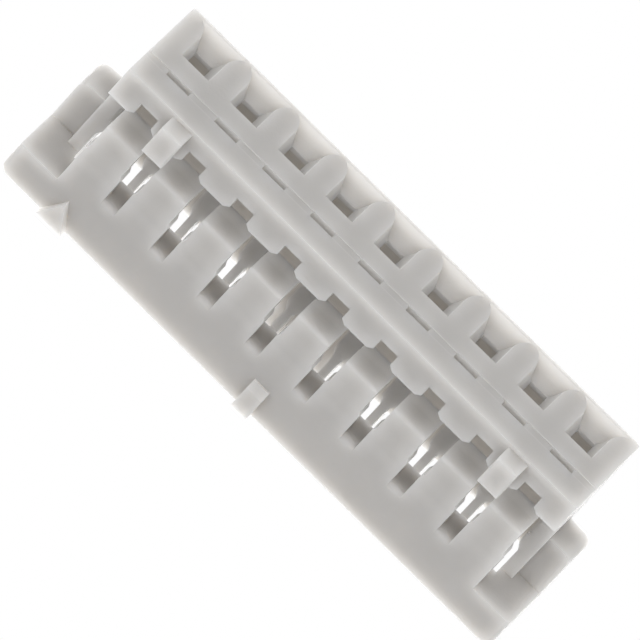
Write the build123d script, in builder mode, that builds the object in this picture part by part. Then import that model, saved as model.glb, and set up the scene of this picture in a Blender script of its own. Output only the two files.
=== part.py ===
"""Receptacle housing for a single row of crimp contacts, wire side to board side.

One moulded piece. X runs along the row with circuit 1 at the +X end, the mating
face looks towards -Y, the wires leave towards +Y, and the polarising keys and the
locking lances are on top (+Z). The origin is the middle of the footprint, on the
surface that the housing rests on. All sizes are in millimetres.

Places along the depth are given as s, the distance behind the mating face, and
heights as h, the distance above the underside. at() turns both into Y and Z.
"""

import os

from build123d import *

# Row
pitch = 1.25
circuits = 9

# Overall body
block_width = 11.65
overall_width = 12.80
overall_depth = 4.42
body_height = 2.37
floor_end = 3.77
wall_top = 1.27
end_wall_top = 1.48
underside_edge_radius = 0.12

# Front block and its mating face
block_depth = 0.885
face_lean = 0.02
front_wall = 0.45

# Pin entries: a square hole with a funnel that opens towards the underside
hole_width = 0.42
hole_low, hole_high = 0.54, 0.98
hole_foot = 0.08
funnel_depth = 0.34
funnel_width = 0.70
funnel_high = 1.18
funnel_shoulder = 0.52
funnel_low = 0.15
funnel_foot_width = 1.13
flare_half_width, flare_height = 0.41, 0.32

# Core slots above the pin entries, in a shallow groove across the face
core_slot_width = 0.58
core_slot_low, core_slot_high = 1.67, 1.83
groove_depth = 0.015

# Windows in the block's rear edge
window_width = 0.44
window_start = 0.478
window_corner_s = 0.785
window_mouth_width = 0.67

# Contact cavities
cavity_floor = 0.42
cavity_roof = 1.64
contact_zone_width = 0.896
wire_zone_width = 1.08
contact_zone_end = 2.62
wire_zone_start = 2.83

# Locking lances
lance_tip_s = 1.50
lance_root_s = 3.065
lance_width = 0.906
lance_tip_width = 0.816
lance_shoulder_s = 2.18
lance_shoulder_end = 2.32
lance_nib_height = 1.62
lance_nib_length = 0.18
lance_web_height = 2.05
lance_web_start, lance_web_end = 1.98, 2.76
lance_trim_low = 1.42
lance_tip_rise = 0.04
lance_crown_s, lance_crown_rise = 1.90, 0.09
lance_crease_s, lance_crease_rise = 2.28, 0.055
lance_blend_s, lance_blend_rise = 2.58, 0.014
lance_level_s = 2.90
lance_tip_radius = 0.09
plate_overlap = 0.20

# Rear plate, its two end posts and the side ears
plate_low = cavity_roof
post_s = 3.50
plate_edge_radius = 0.09
slot_end_radius = 0.12
rear_corner_radius = 0.21
stay_s = 3.42
ear_s = 2.25
ear_low, ear_high = 0.48, 1.25
ear_corner_radius = 0.22

# Polarising keys
key_width = 0.50
key_start, key_end = 0.11, 0.945
key_height = 0.415
key_edge_radius = 0.04
key_root = 1.92

# Circuit 1 mark and centre rib at the rear edge
mark_base = 0.70
mark_length = 0.73
mark_height = 0.165
rib_width = 0.39
rib_start = 3.58
rib_bevel_length, rib_bevel_height = 0.17, 0.11
mark_root = 0.35

# Lip that carries the floor back to the rear edge near the middle
lip_from_x, lip_to_x = -0.60, 0.92


def at(s, h):
    """Y and Z of a point that is s behind the mating face and h above the underside."""
    return s - overall_depth / 2, h


def level(h):
    """The horizontal plane at height h."""
    return Plane.XY.offset(h)


def side_outline(*points):
    """A closed outline in the YZ plane through points given as (s, h)."""
    Polyline(*[at(s, h) for s, h in points], close=True)


def plan_outline(*points):
    """A closed outline seen from above through points given as (x, s)."""
    Polyline(*[(x, s - overall_depth / 2) for x, s in points], close=True)


def entry_outline(x, high, shoulder, flare, foot):
    """A pin entry's outline on its plane: straight sides that curve out to a foot."""
    for side in (-1, 1):
        high_point, shoulder_point, flare_point, foot_point = [
            (x + side * half, h) for half, h in (high, shoulder, flare, foot)
        ]
        Line(high_point, shoulder_point)
        ThreePointArc(shoulder_point, flare_point, foot_point)
    Line((x - high[0], high[1]), (x + high[0], high[1]))
    Line((x - foot[0], foot[1]), (x + foot[0], foot[1]))


row = [pitch * ((circuits - 1) / 2 - n) for n in range(circuits)]
tongue_x = row[0] + lance_width / 2
post_x = row[0] + wire_zone_width / 2
top = body_height
rear = overall_depth
rear_y = overall_depth / 2
face_y = -overall_depth / 2

with BuildPart() as housing:
    # Body: the tall front block and, behind it, the low box of the cavities
    with BuildSketch(Plane.YZ):
        with BuildLine():
            side_outline(
                (0, 0),
                (0, core_slot_low),
                (groove_depth, core_slot_low),
                (groove_depth, core_slot_high),
                (0, core_slot_high),
                (face_lean, top),
                (block_depth, top),
                (block_depth, wall_top),
                (floor_end, wall_top),
                (floor_end, 0),
            )
        make_face()
    extrude(amount=block_width / 2, both=True)
    underside_edges = housing.edges().group_by(Axis.Z)[0].sort_by(Axis.Y)
    fillet(underside_edges[:-1], radius=underside_edge_radius)

    # The end walls stand higher than the partitions
    with BuildSketch(level(wall_top)):
        for side in (-1, 1):
            with BuildLine():
                plan_outline(
                    (side * row[0], block_depth),
                    (side * block_width / 2, block_depth),
                    (side * block_width / 2, post_s),
                    (side * row[0], post_s),
                )
            make_face()
    extrude(amount=end_wall_top - wall_top)

    # Stays at the rear of the partitions rise to meet the plate
    with BuildSketch(Plane.YZ):
        with BuildLine():
            side_outline(
                (stay_s, wall_top),
                (stay_s, cavity_roof),
                (floor_end, cavity_roof),
                (floor_end, wall_top),
            )
        make_face()
    extrude(amount=tongue_x, both=True)

    # Cavities: a snug contact zone in front, a wider wire zone behind, open at the rear
    with BuildSketch(level(cavity_floor)):
        for x in row:
            with BuildLine():
                plan_outline(
                    (x - contact_zone_width / 2, front_wall),
                    (x + contact_zone_width / 2, front_wall),
                    (x + contact_zone_width / 2, contact_zone_end),
                    (x + wire_zone_width / 2, wire_zone_start),
                    (x + wire_zone_width / 2, rear),
                    (x - wire_zone_width / 2, rear),
                    (x - wire_zone_width / 2, wire_zone_start),
                    (x - contact_zone_width / 2, contact_zone_end),
                )
            make_face()
    extrude(amount=cavity_roof - cavity_floor, mode=Mode.SUBTRACT)

    # The core slots run back from the face and end in the taller front of each cavity
    with BuildSketch(Plane.XZ.offset(-face_y)):
        for x in row:
            with Locations((x, (core_slot_low + core_slot_high) / 2)):
                Rectangle(core_slot_width, core_slot_high - core_slot_low)
    extrude(amount=-block_depth, mode=Mode.SUBTRACT)
    with BuildSketch(level(cavity_roof)):
        for x in row:
            with Locations((x, (front_wall + block_depth) / 2 - rear_y)):
                Rectangle(contact_zone_width, block_depth - front_wall)
    extrude(amount=core_slot_high - cavity_roof, mode=Mode.SUBTRACT)

    # Windows in the block's rear edge, with splayed mouths
    with BuildSketch(level(core_slot_high)):
        for x in row:
            with BuildLine():
                plan_outline(
                    (x - window_width / 2, window_start),
                    (x + window_width / 2, window_start),
                    (x + window_width / 2, window_corner_s),
                    (x + window_mouth_width / 2, block_depth),
                    (x - window_mouth_width / 2, block_depth),
                    (x - window_width / 2, window_corner_s),
                )
            make_face()
    extrude(amount=top - core_slot_high, mode=Mode.SUBTRACT)

    # Pin holes, each with a funnel whose foot fans out towards the underside
    with BuildSketch(Plane.XZ.offset(-face_y)):
        for x in row:
            with Locations((x, (hole_low + hole_high) / 2)):
                Rectangle(hole_width, hole_high - hole_low)
    extrude(amount=-front_wall, mode=Mode.SUBTRACT)
    for x in row:
        with BuildSketch(Plane.XZ.offset(-face_y)):
            with BuildLine():
                entry_outline(
                    x,
                    (funnel_width / 2, funnel_high),
                    (funnel_width / 2, funnel_shoulder),
                    (flare_half_width, flare_height),
                    (funnel_foot_width / 2, funnel_low),
                )
            make_face()
        with BuildSketch(Plane.XZ.offset(-face_y - funnel_depth)):
            with BuildLine():
                entry_outline(
                    x,
                    (hole_width / 2, hole_high),
                    (hole_width / 2, hole_low + hole_foot),
                    (hole_width / 2, hole_low + hole_foot / 2),
                    (hole_width / 2 - hole_foot / 8, hole_low),
                )
            make_face()
        loft(ruled=True, mode=Mode.SUBTRACT)

    # Rear plate, its end posts and the ears beside the cavities
    with BuildSketch(level(plate_low)):
        with BuildLine():
            plan_outline(
                (-overall_width / 2, post_s),
                (-tongue_x, post_s),
                (-tongue_x, lance_root_s),
                (tongue_x, lance_root_s),
                (tongue_x, post_s),
                (overall_width / 2, post_s),
                (overall_width / 2, rear),
                (-overall_width / 2, rear),
            )
        make_face()
    extrude(amount=top - plate_low)
    for side in (-1, 1):
        with BuildSketch(level(ear_low)):
            with BuildLine():
                plan_outline(
                    (side * post_x, post_s),
                    (side * overall_width / 2, post_s),
                    (side * overall_width / 2, rear),
                    (side * post_x, rear),
                )
            make_face()
        extrude(amount=plate_low - ear_low)
    corners = housing.edges().filter_by(Axis.Z).filter_by_position(
        Axis.Y, rear_y, rear_y
    )
    corners = corners.filter_by(lambda e: abs(e.center().X) > block_width / 2)
    fillet(corners, radius=rear_corner_radius)
    rear_top = housing.edges().filter_by(Axis.X).filter_by_position(
        Axis.Z, at(0, top)[1], at(0, top)[1]
    )
    fillet(rear_top.sort_by(Axis.Y)[-1], radius=plate_edge_radius)
    slot_ends = housing.edges().filter_by(Axis.X).filter_by_position(
        Axis.Y, at(lance_root_s, top)[0], at(lance_root_s, top)[0]
    )
    fillet(slot_ends.sort_by(Axis.Z)[-1], radius=slot_end_radius)

    for side in (-1, 1):
        with BuildSketch(level(ear_low)):
            with BuildLine():
                plan_outline(
                    (side * block_width / 2, ear_s),
                    (side * overall_width / 2, ear_s),
                    (side * overall_width / 2, post_s),
                    (side * block_width / 2, post_s),
                )
            make_face()
            outer = vertices().group_by(Axis.Y)[0].sort_by(Axis.X)
            fillet(outer[0 if side < 0 else -1], radius=ear_corner_radius)
        extrude(amount=ear_high - ear_low)

    # Locking lances: crowned tongues that reach forward over the cavities
    for x in row:
        with BuildSketch(Plane.YZ.offset(x)):
            with BuildLine():
                Polyline(
                    at(lance_root_s + plate_overlap, top),
                    at(lance_root_s + plate_overlap, plate_low),
                    at(lance_root_s, plate_low),
                    at(lance_web_end, lance_web_height),
                    at(lance_web_start, lance_web_height),
                    at(lance_tip_s + lance_nib_length, lance_nib_height),
                    at(lance_tip_s, lance_nib_height),
                    at(lance_tip_s, top + lance_tip_rise),
                )
                Spline(
                    at(lance_tip_s, top + lance_tip_rise),
                    at(lance_crown_s, top + lance_crown_rise),
                    at(lance_crease_s, top + lance_crease_rise),
                )
                Spline(
                    at(lance_crease_s, top + lance_crease_rise),
                    at(lance_blend_s, top + lance_blend_rise),
                    at(lance_level_s, top),
                )
                Line(
                    at(lance_level_s, top),
                    at(lance_root_s + plate_overlap, top),
                )
            make_face()
        extrude(amount=lance_width / 2, both=True)
    tips = housing.edges().filter_by(Axis.X).filter_by_position(
        Axis.Z, at(0, top + lance_tip_rise)[1] - 0.001, at(0, top + lance_tip_rise)[1] + 0.001
    )
    fillet(tips.group_by(Axis.Y)[0], radius=lance_tip_radius)
    trim = (lance_width - lance_tip_width) / 2
    with BuildSketch(level(lance_trim_low)):
        for x in row:
            for side in (-1, 1):
                edge = x + side * lance_width / 2
                with BuildLine():
                    plan_outline(
                        (edge + side * trim, lance_tip_s - trim),
                        (edge - side * trim, lance_tip_s - trim),
                        (edge - side * trim, lance_shoulder_s),
                        (edge, lance_shoulder_end),
                        (edge + side * trim, lance_shoulder_end),
                    )
                make_face()
    extrude(amount=top + lance_crown_rise + trim - lance_trim_low, mode=Mode.SUBTRACT)

    # Polarising keys, which run down the back of the block
    for x in (row[0] - pitch / 2, row[-1] + pitch / 2):
        with BuildSketch(Plane.YZ.offset(x)):
            with BuildLine():
                side_outline(
                    (key_start, key_root),
                    (key_start, top + key_height),
                    (key_end, top + key_height),
                    (key_end, wall_top),
                    (block_depth, wall_top),
                    (block_depth, key_root),
                )
            make_face()
        extrude(amount=key_width / 2, both=True)
    key_edges = housing.edges().filter_by_position(
        Axis.Z, at(0, top + key_height)[1], at(0, top + key_height)[1]
    )
    fillet(key_edges, radius=key_edge_radius)

    # Circuit 1 mark and centre rib
    with BuildSketch(level(top - mark_root)):
        with BuildLine():
            plan_outline(
                (row[0], rear - mark_length),
                (row[0] + mark_base / 2, rear),
                (row[0] - mark_base / 2, rear),
            )
        make_face()
    extrude(amount=mark_root + mark_height)
    with BuildSketch(Plane.YZ):
        with BuildLine():
            side_outline(
                (rib_start, top - mark_root),
                (rib_start, top + mark_height - rib_bevel_height),
                (rib_start + rib_bevel_length, top + mark_height),
                (rear, top + mark_height),
                (rear, top - mark_root),
            )
        make_face()
    extrude(amount=rib_width / 2, both=True)

    # The lip closes the rear ends of the middle cavities' floors
    with BuildSketch(level(0)):
        with BuildLine():
            plan_outline(
                (lip_from_x, floor_end),
                (lip_to_x, floor_end),
                (lip_to_x, rear),
                (lip_from_x, rear),
            )
        make_face()
    extrude(amount=cavity_floor)

housing.part.label = "housing"
os.makedirs("parts", exist_ok=True)
export_step(housing.part, "parts/housing.step")
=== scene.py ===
import math

import bpy
from bpy.props import FloatProperty, FloatVectorProperty, PointerProperty
from mathutils import Matrix, Vector

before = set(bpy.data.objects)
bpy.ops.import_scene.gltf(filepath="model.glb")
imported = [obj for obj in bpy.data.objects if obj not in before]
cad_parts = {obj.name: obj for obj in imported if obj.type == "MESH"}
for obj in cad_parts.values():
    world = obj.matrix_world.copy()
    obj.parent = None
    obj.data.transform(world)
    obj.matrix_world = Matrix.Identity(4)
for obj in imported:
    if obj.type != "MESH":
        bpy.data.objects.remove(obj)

bl_info = {
    "name": "Receptacle Housing",
    "version": (1, 0, 0),
    "blender": (4, 5, 0),
    "location": "3D View > Sidebar > Housing",
    "description": "Finishes a moulded receptacle housing and sets up its studio stage",
    "category": "Object",
}

WHITE = (1.0, 1.0, 1.0, 1.0)
SENSOR_WIDTH = 36.0

# Nylon: its refraction, how far red, green and blue light travel in it compared with
# one another, and the largest share of the light that any part of it reflects
NYLON_IOR = 1.53
SCATTER_BY_COLOUR = (1.0, 0.96, 0.90)
PALEST = 0.98

# Noise: the middle of its range, and how many finer layers the clouds and the grain add
NOISE_LOW, NOISE_HIGH = 0.3, 0.7
CLOUD_DETAIL = 3.0
GRAIN_DETAIL = 4.0

# How far the grain moves the roughness either way, and the rays that measure thickness
# for the painted edge glow
ROUGHNESS_SWING = 0.05
THICKNESS_RAYS = 8

# Bright patches of the white tent: the property with a patch's level, and its bearing
PATCHES = (
    ("below_light", (0.0, 0.0, -1.0)),
    ("behind_light", (0.0, 1.0, 0.0)),
    ("behind_below_light", (0.0, 0.71, -0.71)),
    ("front_top_light", (0.0, -0.71, 0.71)),
    ("front_left_light", (-0.66, -0.56, 0.50)),
    ("front_right_light", (0.66, -0.56, 0.50)),
    ("left_light", (-1.0, 0.0, 0.0)),
    ("right_light", (1.0, 0.0, 0.0)),
)


def patch_level(name, description, default):
    """A property for the level of one bright patch of the tent."""
    return FloatProperty(name=name, description=description, default=default, min=0.0)


class HousingFinish(bpy.types.PropertyGroup):
    """Look of the moulded nylon."""

    base: FloatVectorProperty(
        name="Base",
        description="Colour of the natural nylon",
        subtype="COLOR",
        size=3,
        default=(0.56, 0.547, 0.533),
        min=0.0,
        max=1.0,
    )
    roughness: FloatProperty(
        name="Roughness",
        description="Roughness of the satin skin",
        default=0.5,
        min=0.0,
        max=1.0,
    )
    scatter: FloatProperty(
        name="Scatter",
        description="Share of light that goes through the skin",
        default=1.0,
        min=0.0,
        max=1.0,
    )
    scatter_depth: FloatProperty(
        name="Scatter Depth",
        description="How far light travels under the skin",
        subtype="DISTANCE",
        unit="LENGTH",
        default=0.0009,
        min=0.0,
        precision=6,
    )
    # Painted glow: the thickness under which the colour is lightened to stand in for
    # light shining through thin edges
    painted_glow_depth: FloatProperty(
        name="Rim Depth",
        description="Thickness under which the nylon looks paler",
        subtype="DISTANCE",
        unit="LENGTH",
        default=0.00035,
        min=0.0,
        precision=6,
    )
    # Painted glow: how much the colour is lightened where the nylon is thin
    painted_glow_gain: FloatProperty(
        name="Rim Gain",
        description="How much paler the nylon is where it is thin",
        default=0.35,
        min=0.0,
    )
    cloud_size: FloatProperty(
        name="Cloud Size",
        description="Size of the faint clouds in the colour",
        subtype="DISTANCE",
        unit="LENGTH",
        default=0.0009,
        min=0.00001,
        precision=6,
    )
    cloudiness: FloatProperty(
        name="Cloudiness",
        description="How far the clouds change the colour",
        default=0.02,
        min=0.0,
        max=1.0,
    )
    grain_size: FloatProperty(
        name="Grain Size",
        description="Size of the moulded grain of the skin",
        subtype="DISTANCE",
        unit="LENGTH",
        default=0.00006,
        min=0.000001,
        precision=6,
    )
    grain_height: FloatProperty(
        name="Grain Height",
        description="Height of the moulded grain of the skin",
        subtype="DISTANCE",
        unit="LENGTH",
        default=0.000004,
        min=0.0,
        precision=6,
    )


class HousingStage(bpy.types.PropertyGroup):
    """Camera and the white tent."""

    azimuth: FloatProperty(
        name="Azimuth",
        description="Bearing of the camera from straight in front",
        subtype="ANGLE",
        unit="ROTATION",
        default=math.radians(-2.25),
    )
    elevation: FloatProperty(
        name="Elevation",
        description="Height angle of the camera",
        subtype="ANGLE",
        unit="ROTATION",
        default=math.radians(44.0),
    )
    roll: FloatProperty(
        name="Roll",
        description="Turn of the camera about its own line of sight",
        subtype="ANGLE",
        unit="ROTATION",
        default=math.radians(-133.90),
    )
    distance: FloatProperty(
        name="Distance",
        description="Camera to the middle of the object",
        subtype="DISTANCE",
        unit="LENGTH",
        default=0.45,
    )
    lens: FloatProperty(
        name="Lens",
        description="Focal length on a 36 mm sensor, in millimetres",
        default=1356.3,
    )
    aim: FloatVectorProperty(
        name="Aim",
        description="Point that the camera turns about",
        subtype="TRANSLATION",
        unit="LENGTH",
        size=3,
        default=(0.0, -0.00002, 0.00128),
        precision=6,
    )
    shift_x: FloatProperty(
        name="Shift X",
        description="Sideways framing shift, in sensor widths",
        default=-0.01290,
        precision=5,
    )
    shift_y: FloatProperty(
        name="Shift Y",
        description="Upward framing shift, in sensor widths",
        default=-0.00170,
        precision=5,
    )
    below_light: patch_level("Below", "Level of the patch below the object", 1.12)
    behind_light: patch_level("Behind", "Level of the patch on the wire side", 1.20)
    behind_below_light: patch_level(
        "Behind Below", "Level of the patch between those two", 2.35
    )
    front_top_light: patch_level(
        "Front Top", "Level of the patch above the mating face", 0.50
    )
    front_left_light: patch_level(
        "Front Left", "Level of the patch to the left of the mating face", 1.14
    )
    front_right_light: patch_level(
        "Front Right", "Level of the patch to the right of the mating face", 1.10
    )
    left_light: patch_level("Left", "Level of the patch beyond the left end", 0.22)
    right_light: patch_level("Right", "Level of the patch beyond the right end", 0.34)
    patch_focus: FloatProperty(
        name="Patch Focus",
        description="How quickly a patch fades away from its middle",
        default=4.0,
        min=0.0,
    )


def add_node(tree, kind, **settings):
    """A node of the given kind, with its own settings made."""
    node = tree.nodes.new(kind)
    for name, value in settings.items():
        setattr(node, name, value)
    return node


def noise(tree, coords, feature_size, detail):
    """Noise whose features are about feature_size metres across on the object."""
    node = add_node(tree, "ShaderNodeTexNoise")
    node.inputs["Scale"].default_value = 1.0 / feature_size
    node.inputs["Detail"].default_value = detail
    tree.links.new(coords.outputs["Object"], node.inputs["Vector"])
    return node


def spread(tree, texture, low, high):
    """Maps the middle of a noise's range to values from low to high."""
    node = add_node(tree, "ShaderNodeMapRange")
    node.inputs["From Min"].default_value = NOISE_LOW
    node.inputs["From Max"].default_value = NOISE_HIGH
    node.inputs["To Min"].default_value = low
    node.inputs["To Max"].default_value = high
    tree.links.new(texture.outputs["Fac"], node.inputs["Value"])
    return node


def painted_edge_glow(tree, props):
    """A painted glow, a paler colour standing in for light shining through thin edges:
    a factor of 1 where the nylon is thick, up to 1 plus the gain setting where it is
    thin.
    """
    thick = add_node(
        tree,
        "ShaderNodeAmbientOcclusion",
        inside=True,
        only_local=True,
        samples=THICKNESS_RAYS,
    )
    thick.inputs["Distance"].default_value = props.painted_glow_depth
    # Painted glow: the colour is lightened where the inward rays reach the far side
    # within the depth
    paler = add_node(tree, "ShaderNodeMapRange")
    paler.inputs["To Min"].default_value = 1.0 + props.painted_glow_gain
    paler.inputs["To Max"].default_value = 1.0
    tree.links.new(thick.outputs["AO"], paler.inputs["Value"])
    return paler.outputs["Result"]


def nylon_material(props):
    """Natural nylon: a satin skin over a body that scatters light.

    The flow of the melt leaves the colour slightly cloudy, and thin edges get a painted
    glow, a paler colour that stands in for light shining through them.
    The grain of the mould gives the skin a fine bump, and its roughness varies a
    little.
    """
    mat = bpy.data.materials.new("nylon")
    mat.use_nodes = True
    tree = mat.node_tree
    bsdf = tree.nodes["Principled BSDF"]
    coords = add_node(tree, "ShaderNodeTexCoord")

    clouds = noise(tree, coords, props.cloud_size, CLOUD_DETAIL)
    cloudy = spread(tree, clouds, -1.0, 1.0)
    shade = add_node(tree, "ShaderNodeMath", operation="MULTIPLY_ADD")
    shade.inputs[1].default_value = props.cloudiness
    shade.inputs[2].default_value = 1.0
    tree.links.new(cloudy.outputs["Result"], shade.inputs[0])
    # The cloudy tone times the painted edge glow; this scales the base colour, which is
    # capped at PALEST
    both = add_node(tree, "ShaderNodeMath", operation="MULTIPLY")
    tree.links.new(shade.outputs[0], both.inputs[0])
    tree.links.new(painted_edge_glow(tree, props), both.inputs[1])
    colour = add_node(tree, "ShaderNodeVectorMath", operation="SCALE")
    colour.inputs[0].default_value = props.base
    limit = add_node(tree, "ShaderNodeVectorMath", operation="MINIMUM")
    limit.inputs[1].default_value = (PALEST, PALEST, PALEST)
    tree.links.new(both.outputs[0], colour.inputs["Scale"])
    tree.links.new(colour.outputs["Vector"], limit.inputs[0])
    tree.links.new(limit.outputs["Vector"], bsdf.inputs["Base Color"])

    grain = noise(tree, coords, props.grain_size, GRAIN_DETAIL)
    smooth = props.roughness - ROUGHNESS_SWING
    rough = props.roughness + ROUGHNESS_SWING
    satin = spread(tree, grain, smooth, rough)
    tree.links.new(satin.outputs["Result"], bsdf.inputs["Roughness"])
    bump = add_node(tree, "ShaderNodeBump")
    bump.inputs["Distance"].default_value = props.grain_height
    tree.links.new(grain.outputs["Fac"], bump.inputs["Height"])
    tree.links.new(bump.outputs["Normal"], bsdf.inputs["Normal"])

    bsdf.inputs["IOR"].default_value = NYLON_IOR
    bsdf.inputs["Subsurface Weight"].default_value = props.scatter
    bsdf.inputs["Subsurface Radius"].default_value = SCATTER_BY_COLOUR
    bsdf.inputs["Subsurface Scale"].default_value = props.scatter_depth
    return mat


class HOUSING_OT_finish(bpy.types.Operator):
    """Gives the housing its nylon finish"""

    bl_idname = "housing.finish"
    bl_label = "Finish Housing"

    def execute(self, context):
        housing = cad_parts["housing"]
        housing.data.materials.clear()
        housing.data.materials.append(nylon_material(context.scene.housing_finish))
        return {"FINISHED"}


class HOUSING_OT_stage(bpy.types.Operator):
    """Makes the camera and the white tent that lights the object"""

    bl_idname = "housing.stage"
    bl_label = "Make Stage"

    def execute(self, context):
        props = context.scene.housing_stage
        place_camera(context.scene, props)
        surround(context.scene, props)
        return {"FINISHED"}


def place_camera(scene, props):
    """Points the camera at the aim point from the given bearing, height and roll."""
    back = Vector(
        (
            math.sin(props.azimuth) * math.cos(props.elevation),
            -math.cos(props.azimuth) * math.cos(props.elevation),
            math.sin(props.elevation),
        )
    )
    data = bpy.data.cameras.new("camera")
    data.sensor_width = SENSOR_WIDTH
    data.lens = props.lens
    data.shift_x = props.shift_x
    data.shift_y = props.shift_y
    data.clip_start = props.distance * 0.1
    data.clip_end = props.distance * 10.0
    cam = bpy.data.objects.new("camera", data)
    turn = (-back).to_track_quat("-Z", "Y").to_matrix().to_4x4()
    roll = Matrix.Rotation(props.roll, 4, "Z")
    cam.matrix_world = (
        Matrix.Translation(Vector(props.aim) + back * props.distance) @ turn @ roll
    )
    scene.collection.objects.link(cam)
    scene.camera = cam


def patch(tree, coords, bearing, focus, level):
    """One bright patch: level * exp(focus * (cos - 1)) at an angle from its bearing."""
    cosine = add_node(tree, "ShaderNodeVectorMath", operation="DOT_PRODUCT")
    cosine.inputs[1].default_value = Vector(bearing).normalized()
    fall = add_node(tree, "ShaderNodeMath", operation="MULTIPLY_ADD")
    fall.inputs[1].default_value = focus
    fall.inputs[2].default_value = -focus
    growth = add_node(tree, "ShaderNodeMath", operation="EXPONENT")
    scaled = add_node(tree, "ShaderNodeMath", operation="MULTIPLY")
    scaled.inputs[1].default_value = level
    tree.links.new(coords.outputs["Generated"], cosine.inputs[0])
    tree.links.new(cosine.outputs["Value"], fall.inputs[0])
    tree.links.new(fall.outputs[0], growth.inputs[0])
    tree.links.new(growth.outputs[0], scaled.inputs[0])
    return scaled.outputs[0]


def background(tree):
    """A white background shader."""
    node = add_node(tree, "ShaderNodeBackground")
    node.inputs["Color"].default_value = WHITE
    return node


def surround(scene, props):
    """A white tent: plain white to the camera, and the sum of its patches otherwise."""
    world = bpy.data.worlds.new("tent")
    world.use_nodes = True
    tree = world.node_tree
    tree.nodes.clear()
    coords = add_node(tree, "ShaderNodeTexCoord")
    lights = [
        patch(tree, coords, bearing, props.patch_focus, getattr(props, name))
        for name, bearing in PATCHES
    ]
    total = lights[0]
    for light in lights[1:]:
        both = add_node(tree, "ShaderNodeMath", operation="ADD")
        tree.links.new(total, both.inputs[0])
        tree.links.new(light, both.inputs[1])
        total = both.outputs[0]
    tent = background(tree)
    tree.links.new(total, tent.inputs["Strength"])
    white = background(tree)
    white.inputs["Strength"].default_value = 1.0
    rays = add_node(tree, "ShaderNodeLightPath")
    mix = add_node(tree, "ShaderNodeMixShader")
    out = add_node(tree, "ShaderNodeOutputWorld")
    tree.links.new(rays.outputs["Is Camera Ray"], mix.inputs[0])
    tree.links.new(tent.outputs[0], mix.inputs[1])
    tree.links.new(white.outputs[0], mix.inputs[2])
    tree.links.new(mix.outputs[0], out.inputs["Surface"])
    scene.world = world


class HOUSING_PT_panel(bpy.types.Panel):
    """Sidebar panel with the housing's settings and operators"""

    bl_idname = "HOUSING_PT_panel"
    bl_label = "Receptacle Housing"
    bl_space_type = "VIEW_3D"
    bl_region_type = "UI"
    bl_category = "Housing"

    def draw(self, context):
        layout = self.layout
        for props in (context.scene.housing_finish, context.scene.housing_stage):
            box = layout.box()
            for name in props.__annotations__:
                box.prop(props, name)
        layout.operator(HOUSING_OT_finish.bl_idname)
        layout.operator(HOUSING_OT_stage.bl_idname)


CLASSES = (
    HousingFinish,
    HousingStage,
    HOUSING_OT_finish,
    HOUSING_OT_stage,
    HOUSING_PT_panel,
)


def register():
    for cls in CLASSES:
        bpy.utils.register_class(cls)
    bpy.types.Scene.housing_finish = PointerProperty(type=HousingFinish)
    bpy.types.Scene.housing_stage = PointerProperty(type=HousingStage)


def unregister():
    del bpy.types.Scene.housing_stage
    del bpy.types.Scene.housing_finish
    for cls in reversed(CLASSES):
        bpy.utils.unregister_class(cls)


def main():
    register()
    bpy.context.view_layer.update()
    bpy.context.scene.view_settings.view_transform = "Standard"
    bpy.ops.housing.finish()
    bpy.ops.housing.stage()


if __name__ == "__main__":
    main()
